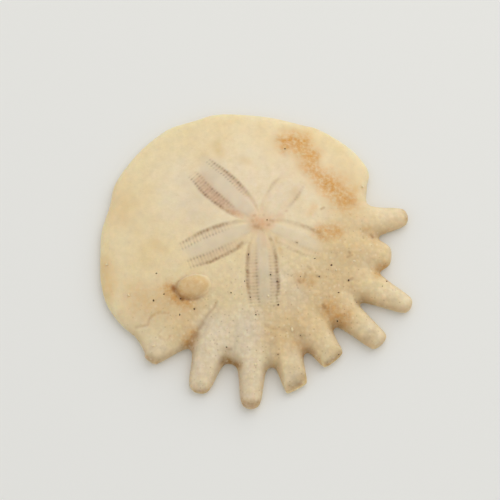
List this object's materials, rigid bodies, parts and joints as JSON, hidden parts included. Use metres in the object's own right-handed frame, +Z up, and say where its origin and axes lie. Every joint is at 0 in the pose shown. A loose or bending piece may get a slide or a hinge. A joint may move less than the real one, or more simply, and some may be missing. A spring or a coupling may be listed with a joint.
{
  "type": "sand dollar",
  "caption": "Dried test of a fingered sand dollar: a thin domed disc with a petal mark on top, a smooth front margin, and a rear margin of short blunt fingers.",
  "frame": {"origin": "centre of the bounding box on the flat underside, so the part stands on z = 0", "axes": "+Z up out of the domed upper side, +Y towards the smooth front margin, with the fingers towards -Y and +X"},
  "size_m": [0.0452, 0.0454, 0.0055],
  "materials": {
    "test": "dry bleached calcite, matt and finely grained"
  },
  "bodies": {
    "root": {"sand_dollar": "test"}
  },
  "joints": []
}
